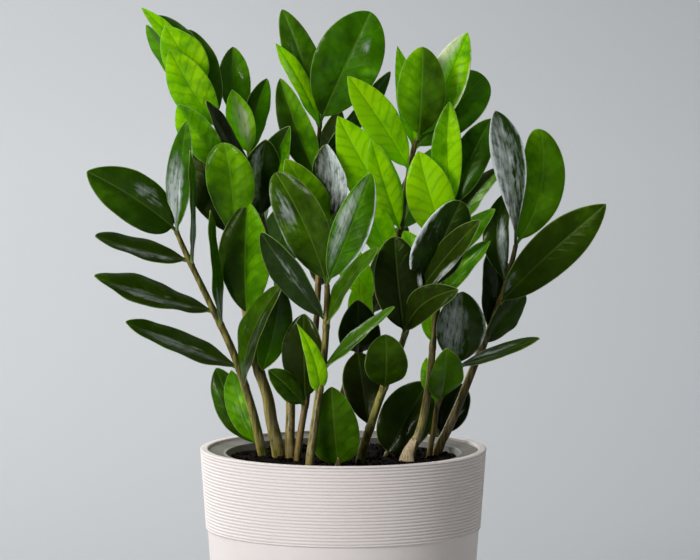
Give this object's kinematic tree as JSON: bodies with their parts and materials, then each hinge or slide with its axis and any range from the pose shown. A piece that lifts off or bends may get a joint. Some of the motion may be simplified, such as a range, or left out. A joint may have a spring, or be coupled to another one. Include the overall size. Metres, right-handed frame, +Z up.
{
  "type": "potted zz plant",
  "caption": "Potted ZZ plant: upright fronds of glossy oval leaflets in a round tapered planter with a finely ribbed collar",
  "frame": {"origin": "middle of the planter's underside, on the surface that the planter stands on", "axes": "+Z up, +X to the right and +Y away for someone who looks at the plant's best side"},
  "size_m": [0.3596, 0.2001, 0.4964],
  "materials": {
    "planter": "satin",
    "liner": "matte",
    "soil": "matte",
    "rhizome": "matte",
    "foliage": "satin"
  },
  "bodies": {
    "root": {"planter": "planter", "liner": "liner", "soil": "soil", "rhizome_left": "rhizome", "rhizome_front": "rhizome", "rhizome_middle": "rhizome", "rhizome_right": "rhizome", "frond_left": "foliage", "frond_upper_left": "foliage", "frond_rear_left": "foliage", "frond_upper_middle": "foliage", "frond_front": "foliage", "frond_upper_right": "foliage", "frond_right_front": "foliage", "frond_right_middle": "foliage", "frond_right_small": "foliage", "frond_right": "foliage", "shoot_low_left": "foliage", "shoot_low_front": "foliage", "shoot_low_right": "foliage", "shoot_low_rear": "foliage"}
  },
  "joints": []
}
